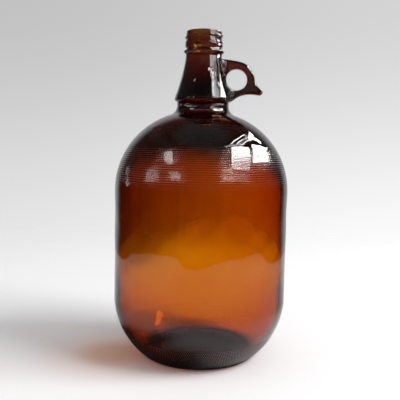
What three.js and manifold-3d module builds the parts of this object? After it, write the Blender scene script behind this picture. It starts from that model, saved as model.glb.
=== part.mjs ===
// A one-gallon jug of amber glass with a screw finish and a finger ring, for beer, cider or wine.
//
// Units are millimetres and +Z is up. The origin is the centre of the base, on the surface the jug stands on,
// and the finger ring points along +X. A blown jug is one piece of glass, so each mesh below is one of its
// sections. The wall sections are rings that meet face to face on level planes, from the base to the lip.

import * as THREE from 'three';
import { mergeVertices } from 'three/addons/utils/BufferGeometryUtils.js';
import Module from 'manifold-3d';

const wasm = await Module();
wasm.setup();

// Driving dimensions: the levels where one section ends and the next begins, from the base up.
const BASE_TOP = 8;
const LOWER_HEEL_TOP = 31;
const HEEL_TOP = 62;
const PANEL_TOP = 165;
const SHOULDER_TOP = 204;
const CROWN_TOP = 239;
const COLLAR_TOP = 252;
const BELL_TOP = 297;
const BEAD_TOP = 303;
const LOCKING_BAND_TOP = 310.4;
const THREAD_TOP = 318.6;
const JUG_HEIGHT = 320;

// Outside of the body.
const BODY_RADIUS = 85.3;
const HEEL_ARC = 76.5;
const SHOULDER_ARC = 78;

// Outside of the neck.
const COLLAR_RADIUS = 25.3;
const COLLAR_RIM_RADIUS = 25.7;
const BELL_RADIUS = 28;
const BELL_EDGE = 2.8;
const BELL_CURVE = 1.45;
const NECK_RADIUS = 17.6;
const BEAD_RADIUS = 19.8;
const BEAD_HEIGHT = 300;
const WAIST_RADIUS = 17.2;
const LOCKING_BAND_RADIUS = 18.4;
const LOCKING_BAND_BOTTOM = 304.6;

// Screw finish for a 38 mm cap.
const THREAD_ROOT_RADIUS = 17.3;
const THREAD_CREST_RADIUS = 18.6;
const THREAD_ANCHOR_RADIUS = 16.4;
const THREAD_PITCH = 4.2;
const THREAD_START_ANGLE = Math.PI / 3;
const THREAD_START_HEIGHT = 311.95;
const THREAD_TURNS = 4 / 3;
const THREAD_FADE_TURNS = 0.08;
const THREAD_ROOT_WIDTH = 2.2;
const THREAD_CREST_WIDTH = 0.9;
const LIP_CORNER = 1.5;

// Inside of the jug.
const PANEL_WALL = 3.2;
const SHOULDER_WALL = 4.4;
const HEEL_WALL = 5.5;
const BORE_RADIUS = 13.4;
const BORE_BOTTOM = 288;
const THROAT_RADIUS = 24;
const THROAT_CURVE = 1.2;
const THROAT_FOOT = 235.7;

// Base: a domed push-up inside a level bearing ring.
const BEARING_INNER_RADIUS = 46;
const BEARING_OUTER_RADIUS = 51.5;
const PUSH_UP = 9;
const FLOOR_GUTTER_RADIUS = 49;
const FLOOR_GUTTER_HEIGHT = 6.6;
const FLOOR_CENTRE_HEIGHT = 16;

// Finger ring: a flat plate in the XZ plane, round about its hole, with a tail at its lower outer corner.
const RING_THICKNESS = 11;
const RING_EDGE_ROUND = 1.4;
const RING_CENTRE_X = 32.4;
const RING_CENTRE_Z = 274;
const RING_HOLE_RADIUS = 10.6;
const RING_OUTER_RADIUS = 17.5;
const TAIL_TIP_X = 55.2;
const TAIL_TIP_Z = 262;
const TAIL_TIP_RADIUS = 2.5;
const RING_GAP = 0.3;

// Fineness of the meshes.
const BODY_SEGMENTS = 48;
const NECK_SEGMENTS = 36;
const CURVE_STEPS = 6;
const ROUND_STEPS = 3;
const DOME_STEPS = 4;

const AMBER = 0x6b2f0a;

function point(radius, height) {
  return new THREE.Vector2(radius, height);
}

function arc(centreRadius, centreHeight, reachOut, reachUp, startAngle, endAngle, steps) {
  const points = [];
  for (let i = 0; i <= steps; i += 1) {
    const angle = startAngle + (endAngle - startAngle) * i / steps;
    const radius = centreRadius + reachOut * Math.cos(angle);
    points.push(point(radius, centreHeight + reachUp * Math.sin(angle)));
  }
  return points;
}

function bend(start, control, end, steps) {
  return new THREE.QuadraticBezierCurve(start, control, end).getPoints(steps);
}

// Turns an outline of radius and height about the jug's axis.
function turned(outline, segments) {
  return new THREE.LatheGeometry(outline, segments).rotateX(Math.PI / 2);
}

// A wall section: the outside runs up, the inside runs down, and the outline closes on itself.
function turnedWall(outside, inside, segments) {
  return turned([...outside, ...inside, outside[0].clone()], segments);
}

// A closed geometry as a solid. Triangles that shrink to a line at the axis are left out.
function solidOf(geometry) {
  const bare = geometry.clone();
  bare.deleteAttribute('normal');
  bare.deleteAttribute('uv');
  const merged = mergeVertices(bare);
  const corners = merged.index.array;
  const triangles = [];
  for (let i = 0; i < corners.length; i += 3) {
    const [a, b, c] = corners.slice(i, i + 3);
    if (a !== b && b !== c && c !== a) {
      triangles.push(a, b, c);
    }
  }
  return new wasm.Manifold(new wasm.Mesh({
    numProp: 3,
    vertProperties: new Float32Array(merged.attributes.position.array),
    triVerts: new Uint32Array(triangles),
  }));
}

function geometryOf(solid) {
  const mesh = solid.getMesh();
  const geometry = new THREE.BufferGeometry();
  geometry.setAttribute('position', new THREE.BufferAttribute(mesh.vertProperties, 3));
  geometry.setIndex(new THREE.BufferAttribute(mesh.triVerts, 1));
  geometry.computeVertexNormals();
  return geometry;
}

// Radius of the passage through the neck: a straight bore that opens into a throat above the shoulder.
function passageRadius(height) {
  const depth = Math.max(0, (BORE_BOTTOM - height) / (BORE_BOTTOM - CROWN_TOP));
  return BORE_RADIUS + (THROAT_RADIUS - BORE_RADIUS) * depth ** THROAT_CURVE;
}

function passage(topHeight, bottomHeight, steps) {
  const points = [];
  for (let i = 0; i <= steps; i += 1) {
    const height = topHeight + (bottomHeight - topHeight) * i / steps;
    points.push(point(passageRadius(height), height));
  }
  return points;
}

function elevation(height, centreHeight, reachUp) {
  return Math.asin((height - centreHeight) / reachUp);
}

// Outside and inside of the heel's or the shoulder's curve between two levels. The inside is part of an
// ellipse, as deep as the panel's wall at the panel and as deep as the dome's wall at the dome's end.
function domeOutside(arcRadius, centreHeight, low, high) {
  const from = elevation(low, centreHeight, arcRadius);
  const to = elevation(high, centreHeight, arcRadius);
  return arc(BODY_RADIUS - arcRadius, centreHeight, arcRadius, arcRadius, from, to, ROUND_STEPS + 1);
}

function domeInside(arcRadius, wall, centreHeight, high, low) {
  const reachUp = arcRadius - wall;
  const from = elevation(high, centreHeight, reachUp);
  const to = elevation(low, centreHeight, reachUp);
  const reachOut = arcRadius - PANEL_WALL;
  return arc(BODY_RADIUS - arcRadius, centreHeight, reachOut, reachUp, from, to, ROUND_STEPS + 1);
}

function baseGeometry() {
  const outside = domeOutside(HEEL_ARC, HEEL_TOP, BASE_TOP, HEEL_TOP)[0];
  const inside = domeInside(HEEL_ARC, HEEL_WALL, HEEL_TOP, BASE_TOP, HEEL_TOP)[0];
  const slopeFoot = point(outside.x - BASE_TOP, 0);
  const underside = [];
  const floor = [];
  for (let i = 0; i <= DOME_STEPS; i += 1) {
    const share = i / DOME_STEPS;
    const dome = 1 - share * share;
    underside.push(point(BEARING_INNER_RADIUS * share, PUSH_UP * dome));
    floor.unshift(point(
      FLOOR_GUTTER_RADIUS * share,
      FLOOR_GUTTER_HEIGHT + (FLOOR_CENTRE_HEIGHT - FLOOR_GUTTER_HEIGHT) * dome,
    ));
  }
  const turnUp = bend(point(BEARING_OUTER_RADIUS, 0), slopeFoot, outside, ROUND_STEPS);
  return turned([...underside, ...turnUp, inside, ...floor], BODY_SEGMENTS);
}

function heelGeometry(low, high) {
  const outside = domeOutside(HEEL_ARC, HEEL_TOP, low, high);
  const inside = domeInside(HEEL_ARC, HEEL_WALL, HEEL_TOP, high, low);
  return turnedWall(outside, inside, BODY_SEGMENTS);
}

function labelPanelGeometry() {
  const innerRadius = BODY_RADIUS - PANEL_WALL;
  return turnedWall(
    [point(BODY_RADIUS, HEEL_TOP), point(BODY_RADIUS, PANEL_TOP)],
    [point(innerRadius, PANEL_TOP), point(innerRadius, HEEL_TOP)],
    BODY_SEGMENTS,
  );
}

function shoulderGeometry() {
  const outside = domeOutside(SHOULDER_ARC, PANEL_TOP, PANEL_TOP, SHOULDER_TOP);
  const inside = domeInside(SHOULDER_ARC, SHOULDER_WALL, PANEL_TOP, SHOULDER_TOP, PANEL_TOP);
  return turnedWall(outside, inside, BODY_SEGMENTS);
}

// The upper part of the shoulder, whose inside turns up into the throat.
function shoulderCrownGeometry() {
  const outside = domeOutside(SHOULDER_ARC, PANEL_TOP, SHOULDER_TOP, CROWN_TOP);
  const inside = domeInside(SHOULDER_ARC, SHOULDER_WALL, PANEL_TOP, THROAT_FOOT, SHOULDER_TOP);
  return turnedWall(outside, [point(THROAT_RADIUS, CROWN_TOP), ...inside], BODY_SEGMENTS);
}

// The recessed collar between the shoulder and the bell, with a fillet at its foot.
function neckCollarGeometry() {
  const fillet = bend(
    domeOutside(SHOULDER_ARC, PANEL_TOP, SHOULDER_TOP, CROWN_TOP).at(-1),
    point(COLLAR_RADIUS + 0.6, CROWN_TOP + 2.4),
    point(COLLAR_RADIUS, CROWN_TOP + 9),
    CURVE_STEPS - 2,
  );
  return turnedWall(
    [...fillet, point(COLLAR_RIM_RADIUS, COLLAR_TOP)],
    passage(COLLAR_TOP, CROWN_TOP, 3),
    NECK_SEGMENTS,
  );
}

// The outside of the bell, from its rolled lower edge up to the straight neck.
function bellOutside(growth) {
  const widest = COLLAR_TOP + BELL_EDGE;
  const steps = CURVE_STEPS + 2;
  const points = [
    point(COLLAR_RIM_RADIUS + growth, COLLAR_TOP),
    point(BELL_RADIUS - 0.7 + growth, COLLAR_TOP + 0.8),
  ];
  for (let i = 0; i <= steps; i += 1) {
    const rise = i / steps;
    const radius = NECK_RADIUS + (BELL_RADIUS - NECK_RADIUS) * (1 - rise) ** BELL_CURVE;
    points.push(point(radius + growth, widest + (BELL_TOP - widest) * rise));
  }
  return points;
}

function neckBellGeometry() {
  return turnedWall(bellOutside(0), passage(BELL_TOP, COLLAR_TOP, CURVE_STEPS), NECK_SEGMENTS);
}

function transferBeadGeometry() {
  const outside = [
    point(NECK_RADIUS, BELL_TOP),
    point(NECK_RADIUS + 0.3, BEAD_HEIGHT - 1.8),
    point(BEAD_RADIUS - 0.3, BEAD_HEIGHT - 0.9),
    point(BEAD_RADIUS, BEAD_HEIGHT),
    point(BEAD_RADIUS - 0.3, BEAD_HEIGHT + 0.8),
    point(WAIST_RADIUS + 0.5, BEAD_HEIGHT + 1.8),
    point(WAIST_RADIUS, BEAD_TOP),
  ];
  return turnedWall(outside, passage(BEAD_TOP, BELL_TOP, 1), NECK_SEGMENTS);
}

function lockingBandGeometry() {
  const chamfer = 0.6;
  const outside = [
    point(WAIST_RADIUS, BEAD_TOP),
    point(WAIST_RADIUS + 0.2, LOCKING_BAND_BOTTOM - 0.6),
    point(LOCKING_BAND_RADIUS, LOCKING_BAND_BOTTOM + 0.4),
    point(LOCKING_BAND_RADIUS, LOCKING_BAND_TOP - 2 * chamfer),
    point(THREAD_ROOT_RADIUS, LOCKING_BAND_TOP),
  ];
  return turnedWall(outside, passage(LOCKING_BAND_TOP, BEAD_TOP, 1), NECK_SEGMENTS);
}

// The thread ridge: a bar of trapezoid section, laid along a helix and thinned out at both ends.
// The section's height is turned over, so that the bent bar's faces still point out.
function threadRidgeGeometry() {
  const steps = Math.round(NECK_SEGMENTS * THREAD_TURNS);
  const section = [
    point(THREAD_ANCHOR_RADIUS, -THREAD_ROOT_WIDTH / 2),
    point(THREAD_CREST_RADIUS, -THREAD_CREST_WIDTH / 2),
    point(THREAD_CREST_RADIUS, THREAD_CREST_WIDTH / 2),
    point(THREAD_ANCHOR_RADIUS, THREAD_ROOT_WIDTH / 2),
  ];
  const corners = new THREE.Shape(section);
  const geometry = new THREE.ExtrudeGeometry(corners, { depth: 1, steps, bevelEnabled: false });
  const place = geometry.attributes.position;
  for (let i = 0; i < place.count; i += 1) {
    const turns = place.getZ(i) * THREAD_TURNS;
    const endDistance = Math.min(turns, THREAD_TURNS - turns);
    const fade = Math.min(1, 0.2 + 0.8 * endDistance / THREAD_FADE_TURNS);
    const rise = (place.getX(i) - THREAD_ANCHOR_RADIUS) * fade;
    const angle = THREAD_START_ANGLE + 2 * Math.PI * turns;
    const radius = THREAD_ANCHOR_RADIUS + rise;
    const height = THREAD_START_HEIGHT + THREAD_PITCH * turns - place.getY(i) * fade;
    place.setXYZ(i, radius * Math.cos(angle), radius * Math.sin(angle), height);
  }
  return geometry;
}

function threadedNeckGeometry() {
  const wall = turnedWall(
    [point(THREAD_ROOT_RADIUS, LOCKING_BAND_TOP), point(THREAD_ROOT_RADIUS, THREAD_TOP)],
    passage(THREAD_TOP, LOCKING_BAND_TOP, 1),
    NECK_SEGMENTS,
  );
  return geometryOf(solidOf(wall).add(solidOf(threadRidgeGeometry())));
}

// The lip: a rounded outer corner around the level sealing land.
function lipGeometry() {
  const corner = bend(
    point(THREAD_ROOT_RADIUS, THREAD_TOP),
    point(THREAD_ROOT_RADIUS, JUG_HEIGHT),
    point(THREAD_ROOT_RADIUS - LIP_CORNER, JUG_HEIGHT),
    ROUND_STEPS,
  );
  const innerCorner = [
    point(BORE_RADIUS + 0.4, JUG_HEIGHT),
    point(BORE_RADIUS, JUG_HEIGHT - 0.5),
  ];
  return turnedWall(corner, [...innerCorner, point(BORE_RADIUS, THREAD_TOP)], NECK_SEGMENTS);
}

// Outline of the finger ring: level top, round outer side, tail, and an under-edge that falls to the bell.
function fingerRingOutline() {
  const root = NECK_RADIUS - 4;
  const ringFoot = COLLAR_TOP + 0.6;
  const ringTop = 293.4;
  const sideAngle = 0.1;
  const topAngle = 1.25;
  const outline = new THREE.Shape();
  outline.moveTo(root, ringFoot);
  outline.lineTo(BELL_RADIUS, ringFoot);
  outline.quadraticCurveTo(34.5, 258.8, 41.8, 259.8);
  outline.quadraticCurveTo(48.5, 260.6, TAIL_TIP_X - 0.5, TAIL_TIP_Z - TAIL_TIP_RADIUS);
  outline.absarc(TAIL_TIP_X, TAIL_TIP_Z, TAIL_TIP_RADIUS, -1.75, 0.9, false);
  outline.quadraticCurveTo(
    51.8,
    267,
    RING_CENTRE_X + RING_OUTER_RADIUS * Math.cos(sideAngle),
    RING_CENTRE_Z + RING_OUTER_RADIUS * Math.sin(sideAngle),
  );
  outline.absarc(RING_CENTRE_X, RING_CENTRE_Z, RING_OUTER_RADIUS, sideAngle, topAngle, false);
  outline.quadraticCurveTo(34, 292.2, 21, ringTop);
  outline.lineTo(root, ringTop);
  outline.closePath();
  const hole = new THREE.Path();
  hole.absarc(RING_CENTRE_X, RING_CENTRE_Z, RING_HOLE_RADIUS, 0, 2 * Math.PI, true);
  outline.holes.push(hole);
  return outline;
}

function fingerRingGeometry() {
  const plate = new THREE.ExtrudeGeometry(fingerRingOutline(), {
    depth: RING_THICKNESS - 2 * RING_EDGE_ROUND,
    bevelThickness: RING_EDGE_ROUND,
    bevelSize: RING_EDGE_ROUND,
    bevelOffset: -RING_EDGE_ROUND,
    bevelSegments: 2,
    curveSegments: CURVE_STEPS + 2,
  });
  plate.rotateX(Math.PI / 2);
  plate.translate(0, RING_THICKNESS / 2 - RING_EDGE_ROUND, 0);
  const bell = bellOutside(RING_GAP);
  const bellSpace = turned([point(0, COLLAR_TOP), ...bell, point(0, BELL_TOP)], NECK_SEGMENTS);
  return geometryOf(solidOf(plate).subtract(solidOf(bellSpace)));
}

function glassSection(name, geometry) {
  const glass = new THREE.MeshStandardMaterial({ color: AMBER, roughness: 0.06, metalness: 0 });
  const mesh = new THREE.Mesh(geometry, glass);
  mesh.name = name;
  return mesh;
}

const jug = new THREE.Group();
jug.add(glassSection('base', baseGeometry()));
jug.add(glassSection('lower_heel', heelGeometry(BASE_TOP, LOWER_HEEL_TOP)));
jug.add(glassSection('heel', heelGeometry(LOWER_HEEL_TOP, HEEL_TOP)));
jug.add(glassSection('label_panel', labelPanelGeometry()));
jug.add(glassSection('shoulder', shoulderGeometry()));
jug.add(glassSection('shoulder_crown', shoulderCrownGeometry()));
jug.add(glassSection('neck_collar', neckCollarGeometry()));
jug.add(glassSection('neck_bell', neckBellGeometry()));
jug.add(glassSection('finger_ring', fingerRingGeometry()));
jug.add(glassSection('transfer_bead', transferBeadGeometry()));
jug.add(glassSection('locking_band', lockingBandGeometry()));
jug.add(glassSection('threaded_neck', threadedNeckGeometry()));
jug.add(glassSection('lip', lipGeometry()));

export default jug;
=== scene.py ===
from math import atan2, cos, pi, radians, sin, sqrt

import bmesh
import bpy
import numpy as np
from mathutils import Matrix, Vector


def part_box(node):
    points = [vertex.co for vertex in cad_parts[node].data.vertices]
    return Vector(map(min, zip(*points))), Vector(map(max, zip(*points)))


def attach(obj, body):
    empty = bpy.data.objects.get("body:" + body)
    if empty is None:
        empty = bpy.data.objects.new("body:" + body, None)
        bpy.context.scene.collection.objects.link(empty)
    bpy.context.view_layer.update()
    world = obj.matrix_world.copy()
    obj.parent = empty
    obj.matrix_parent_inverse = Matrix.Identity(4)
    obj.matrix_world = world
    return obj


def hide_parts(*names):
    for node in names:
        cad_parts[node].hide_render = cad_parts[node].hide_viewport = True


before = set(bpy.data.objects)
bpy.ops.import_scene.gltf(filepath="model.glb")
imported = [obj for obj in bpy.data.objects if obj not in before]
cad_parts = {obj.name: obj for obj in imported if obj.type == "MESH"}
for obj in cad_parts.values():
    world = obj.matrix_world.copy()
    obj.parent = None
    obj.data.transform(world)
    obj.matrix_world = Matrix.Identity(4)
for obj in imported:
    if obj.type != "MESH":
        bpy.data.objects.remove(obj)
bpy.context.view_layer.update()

# An amber glass jug, blown in one piece. Every length is in metres.
MM = 0.001


def top(node):
    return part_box(node)[1].z


# Levels of the jug's sections, and its widest radius, from the frame
BODY_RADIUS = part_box("label_panel")[1].x
PANEL_FOOT = top("heel")
PANEL_TOP = top("label_panel")
COLLAR_FOOT = top("shoulder_crown")
COLLAR_TOP = top("neck_collar")
BELL_TOP = top("neck_bell")
BAND_TOP = top("locking_band")
THREAD_TOP = top("threaded_neck")
JUG_HEIGHT = top("lip")

# Body: two arcs of revolution, the heel's and the shoulder's, with the label panel between them
HEEL_ARC = 76.5 * MM
SHOULDER_ARC = 78 * MM
PANEL_RECESS = 0.3 * MM
BEARING_INNER = 46 * MM
BEARING_OUTER = 51.5 * MM
BEARING_RIB = 0.15 * MM
PUSH_UP = 9 * MM

# Stipple: rows of dots round the shoulder and the lower heel. The dots may get lower over the
# last rows, down to a share of their height at the top.
DOTS_ROUND = 270
DOTS_LOWER_FROM = 0.7
SHOULDER_DOT_HEIGHT = 0.05 * MM
SHOULDER_DOT_ROWS = 24
SHOULDER_DOT_PITCH = 2.04 * MM
SHOULDER_DOTS_FROM = 0.7 * SHOULDER_DOT_PITCH / SHOULDER_ARC
SHOULDER_TOP_SHARE = 0.3
HEEL_DOT_HEIGHT = 0.16 * MM
HEEL_DOT_ROWS = 15
HEEL_DOT_PITCH = 2.1 * MM
HEEL_DOTS_FROM = radians(-51.8)
HEEL_TOP_SHARE = 1

# Neck, with small raised marks on the collar: degrees round from the front, height in
# millimetres, and how many times taller than wide
COLLAR_FOOT_RADIUS = 31.96 * MM
COLLAR_RADIUS = 25.3 * MM
COLLAR_TOP_RADIUS = 25.7 * MM
MARK_RADIUS = 0.5 * MM
COLLAR_MARKS = [
    (-42, 247.4, 1), (-39, 248.2, 1), (-35.5, 247.8, 1), (-41, 245, 2), (-37, 244.6, 1),
    (-33.5, 245.2, 2), (-30, 247.6, 1), (-29, 244.4, 1), (-25, 246.2, 3), (-20, 248, 1),
    (-20, 244.6, 1), (30, 246.2, 3), (36, 246.2, 3),
]
BELL_RADIUS = 28 * MM
BELL_EDGE = 2.8 * MM
BELL_CURVE = 1.45
NECK_RADIUS = 17.6 * MM

# Thread: one right-handed ridge on the root cylinder
THREAD_ROOT = 17.3 * MM
THREAD_RIDGE = 1.3 * MM
THREAD_PITCH = 4.2 * MM
THREAD_TURNS = 4 / 3
THREAD_START_ANGLE = pi / 3
THREAD_START_HEIGHT = 311.95 * MM
THREAD_CREST_HALF = 0.45 * MM
THREAD_ROOT_HALF = 1.15 * MM
THREAD_FADE_TURNS = 0.06

# Inside. The wall is thinnest low on the label panel, and thicker above and below.
THIN_WALL = 2.9 * MM
THICKER_ABOVE = 1.3 * MM
THICKER_BELOW = 0.7 * MM
SHOULDER_WALL = 4.4 * MM
HEEL_WALL = 5.5 * MM
BORE_RADIUS = 13.4 * MM
BORE_TOP = JUG_HEIGHT - 1.2 * MM
BORE_BOTTOM = 288 * MM
THROAT_WAIST = 245 * MM
WAIST_RADIUS = 18.6 * MM
THROAT_CURVE = 1.3
THROAT_RADIUS = 25 * MM
THROAT_FOOT = 235.7 * MM
FLOOR_RADIUS = 49 * MM
FLOOR_GUTTER = 6.6 * MM
FLOOR_CROWN = 9.4 * MM

# Finger ring: a plate in the XZ plane with a round hole and a curled tail. Its crown and its tail
# are arcs, which start at one angle and sweep through another.
HOLE_X = 32.4 * MM
HOLE_Z = 274 * MM
HOLE_RADIUS = 10.3 * MM
RING_ROOT = 13.6 * MM
RING_FOOT = 252.6 * MM
RING_HEAD = 293.4 * MM
RING_OUTER = 17.5 * MM
RING_CROWN_FROM = 0.1
RING_CROWN_SWEEP = 1.15
RING_THICKNESS = 11 * MM
RING_INNER_ROUND = 1.8 * MM
RING_OUTER_ROUND = 2.6 * MM
RING_FLARE = 2.6 * MM
RING_FLARE_REACH = 2.2 * MM
TAIL_X = 54.8 * MM
TAIL_Z = 262.6 * MM
TAIL_RADIUS = 3.4 * MM
TAIL_FROM = -1.75
TAIL_SWEEP = 2.65

# Waves in the blown glass: how far they stand out, outside and inside, a level where the outer
# ones cross zero, and their length up the jug
OUTER_WAVE = 0.21 * MM
INNER_WAVE = 0.3 * MM
WAVE_LEVEL = 109 * MM
WAVE_LENGTH = 46 * MM

# Columns of the mesh round the axis
FINE = 2 * DOTS_ROUND
MEDIUM = DOTS_ROUND
COARSE = DOTS_ROUND // 2


def smooth_step(low, high, value):
    share = np.clip((value - low) / (high - low), 0, 1)
    return share * share * (3 - 2 * share)


def turns(columns):
    return np.arange(columns) * (2 * pi / columns)


def circle(columns, radius, height):
    """One level row of the surface. Radius and height are numbers or one value a column."""
    angle = turns(columns)
    level = np.broadcast_to(height, columns)
    return np.column_stack([radius * np.cos(angle), radius * np.sin(angle), level])


def bend(start, control, end, steps):
    """Points of a quadratic curve, without its start."""
    points = []
    for i in range(1, steps + 1):
        t = i / steps
        ways = zip(start, control, end)
        points.append(tuple((1 - t) ** 2 * a + 2 * t * (1 - t) * b + t * t * c for a, b, c in ways))
    return points


def circles(columns, points):
    return [circle(columns, radius, height) for radius, height in points]


def heel_point(angle, arc=HEEL_ARC):
    return BODY_RADIUS - HEEL_ARC + arc * cos(angle), PANEL_FOOT + arc * sin(angle)


def shoulder_point(angle, arc=SHOULDER_ARC):
    return BODY_RADIUS - SHOULDER_ARC + arc * cos(angle), PANEL_TOP + arc * sin(angle)


def stippled(point, arc, first, pitch, dot_rows, tall, top_share):
    """Rows half a pitch apart. Each second row carries dots, set between those of the rows beside it.

    The dots are tall at the first row. The highest keep top_share of that height.
    """
    rows = []
    column = np.arange(FINE)
    for i in range(2 * dot_rows + 1):
        angle = first + i * pitch / 2 / arc
        lowered = smooth_step(DOTS_LOWER_FROM, 1, i / (2 * dot_rows)) * (1 - top_share)
        place = point(angle, arc - tall * (1 - lowered))
        tip = point(angle, arc)
        dotted = (i % 2 == 1) & (column % 2 == (i // 2) % 2)
        radius = np.where(dotted, tip[0], place[0])
        height = np.where(dotted, tip[1], place[1])
        rows.append(circle(FINE, radius, height))
    return rows


def underside_rows():
    """The push-up, and the bearing ring with fine ribs across it."""
    rows = []
    for share in (0.04, 0.12, 0.25, 0.4, 0.55, 0.7, 0.82, 0.91, 0.97):
        rows.append(circle(COARSE, BEARING_INNER * share, PUSH_UP * (1 - share * share)))
    rows.append(circle(MEDIUM, BEARING_INNER, BEARING_RIB))
    ribs = BEARING_RIB * (np.arange(MEDIUM) % 3 > 0)
    for radius in (BEARING_INNER + 0.8 * MM, BEARING_OUTER - 0.8 * MM):
        rows.append(circle(MEDIUM, radius, ribs))
    rows.append(circle(MEDIUM, BEARING_OUTER, BEARING_RIB))
    return rows


def heel_rows():
    """The turn up from the bearing ring, the stipple, and the smooth arc up to the label panel."""
    foot = heel_point(HEEL_DOTS_FROM, HEEL_ARC - HEEL_DOT_HEIGHT)
    turn_up = bend((BEARING_OUTER, BEARING_RIB), (53.2 * MM, 0.2 * MM), foot, 4)[:-1]
    rows = circles(MEDIUM, turn_up)
    dots = (HEEL_DOT_PITCH, HEEL_DOT_ROWS, HEEL_DOT_HEIGHT, HEEL_TOP_SHARE)
    rows += stippled(heel_point, HEEL_ARC, HEEL_DOTS_FROM, *dots)
    start = HEEL_DOTS_FROM + HEEL_DOT_ROWS * HEEL_DOT_PITCH / HEEL_ARC
    steps = 14
    for i in range(1, steps):
        share = i / steps
        arc = HEEL_ARC - HEEL_DOT_HEIGHT * (1 - smooth_step(0, 0.1, share))
        arc -= PANEL_RECESS * smooth_step(0.8, 1, share)
        rows.append(circle(MEDIUM, *heel_point(start * (1 - share), arc)))
    return rows


def panel_wave(angle, height):
    """The label panel's slow waves, from -1 to 1, which die away towards its ends."""
    front = angle + pi / 2
    rise = 2 * pi * (height - WAVE_LEVEL) / WAVE_LENGTH
    wave = (0.5 + 0.5 * np.sin(front) ** 2) * np.cos(6 * front) * np.sin(rise)
    wave += 0.24 * np.cos(13 * front + 0.9) * np.sin(1.3 * rise + 0.2)
    wave += 0.10 * np.cos(21 * front + 2.1) * np.sin(1.7 * rise - 0.4)
    reach = 18 * MM
    fade = smooth_step(PANEL_FOOT, PANEL_FOOT + reach, height)
    return wave * fade * (1 - smooth_step(PANEL_TOP - reach, PANEL_TOP, height))


def panel_rows():
    rows = []
    steps = 34
    for i in range(steps + 1):
        height = PANEL_FOOT + (PANEL_TOP - PANEL_FOOT) * i / steps
        deeper = (PANEL_RECESS - SHOULDER_DOT_HEIGHT) * smooth_step(0, 20 * MM, PANEL_TOP - height)
        wave = OUTER_WAVE * panel_wave(turns(MEDIUM), height)
        rows.append(circle(MEDIUM, BODY_RADIUS - SHOULDER_DOT_HEIGHT - deeper - wave, height))
    return rows


def shoulder_rows():
    """The stipple, and the smooth arc up to the collar."""
    dots = (SHOULDER_DOT_PITCH, SHOULDER_DOT_ROWS, SHOULDER_DOT_HEIGHT, SHOULDER_TOP_SHARE)
    rows = stippled(shoulder_point, SHOULDER_ARC, SHOULDER_DOTS_FROM, *dots)
    start = SHOULDER_DOTS_FROM + SHOULDER_DOT_ROWS * SHOULDER_DOT_PITCH / SHOULDER_ARC
    end = atan2(COLLAR_FOOT - PANEL_TOP, sqrt(SHOULDER_ARC**2 - (COLLAR_FOOT - PANEL_TOP) ** 2))
    low = SHOULDER_TOP_SHARE * SHOULDER_DOT_HEIGHT
    steps = 18
    for i in range(1, steps + 1):
        share = i / steps
        arc = SHOULDER_ARC - low * (1 - smooth_step(0, 0.1, share))
        rows.append(circle(MEDIUM, *shoulder_point(start + (end - start) * share, arc)))
    return rows


def collar_rows():
    """The fillet that rises from the shoulder, and the recessed band up to the bell's edge."""
    foot = (COLLAR_FOOT_RADIUS, COLLAR_FOOT)
    fillet = bend(foot, (25.9 * MM, COLLAR_FOOT + 2.4 * MM), (COLLAR_RADIUS, COLLAR_FOOT + 9 * MM), 12)
    band = bend(fillet[-1], (COLLAR_RADIUS, COLLAR_TOP - 1 * MM), (COLLAR_TOP_RADIUS, COLLAR_TOP), 4)
    return circles(COARSE, fillet + band)


def bell_radius(height):
    edge = COLLAR_TOP + BELL_EDGE
    rise = np.clip((height - edge) / (BELL_TOP - edge), 0, 1)
    return NECK_RADIUS + (BELL_RADIUS - NECK_RADIUS) * (1 - rise) ** BELL_CURVE


def bell_rows():
    """The bell's rolled lower edge, and its flank up to the bead."""
    edge = COLLAR_TOP + BELL_EDGE
    foot = (COLLAR_TOP_RADIUS, COLLAR_TOP)
    roll = bend(foot, (28.2 * MM, COLLAR_TOP + 0.1 * MM), (BELL_RADIUS, edge), 7)
    steps = 32
    flank = []
    for i in range(1, steps + 1):
        height = edge + (BELL_TOP - edge) * i / steps
        flank.append((bell_radius(height), height))
    return circles(COARSE, roll + flank)


def finish_rows():
    """Transfer bead, waist and locking band."""
    bead = [(17.9, 298.2), (18.7, 298.7), (19.4, 299.2), (19.75, 299.8), (19.75, 300.3), (19.4, 300.8)]
    waist = [(18.5, 301.3), (17.8, 301.8), (17.4, 302.4), (17.2, 303.1), (17.3, 303.8), (17.8, 304.3)]
    band = [(18.25, 304.7), (18.4, 305.4), (18.4, 307), (18.4, 308.9), (18.25, 309.6), (17.8, 310.1)]
    points = [(radius * MM, height * MM) for radius, height in bead + waist + band]
    return circles(COARSE, points + [(THREAD_ROOT, BAND_TOP)])


def thread_ridge(angle, height):
    """How far the thread stands out, as a share of its full height."""
    ridge = np.zeros_like(angle)
    first = (angle - THREAD_START_ANGLE) / (2 * pi) % 1
    for turn in range(2):
        run = first + turn
        centre = THREAD_START_HEIGHT + THREAD_PITCH * run
        away = np.abs(height - centre)
        shape = 1 - smooth_step(THREAD_CREST_HALF, THREAD_ROOT_HALF, away)
        shape = shape * smooth_step(0, THREAD_FADE_TURNS, run)
        shape = shape * (1 - smooth_step(THREAD_TURNS - THREAD_FADE_TURNS, THREAD_TURNS, run))
        ridge = np.maximum(ridge, shape)
    return ridge


def thread_rows():
    rows = []
    steps = 26
    for i in range(1, steps + 1):
        height = BAND_TOP + (THREAD_TOP - BAND_TOP) * i / steps
        ridge = thread_ridge(turns(COARSE), height)
        rows.append(circle(COARSE, THREAD_ROOT + THREAD_RIDGE * ridge, height))
    return rows


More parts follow.
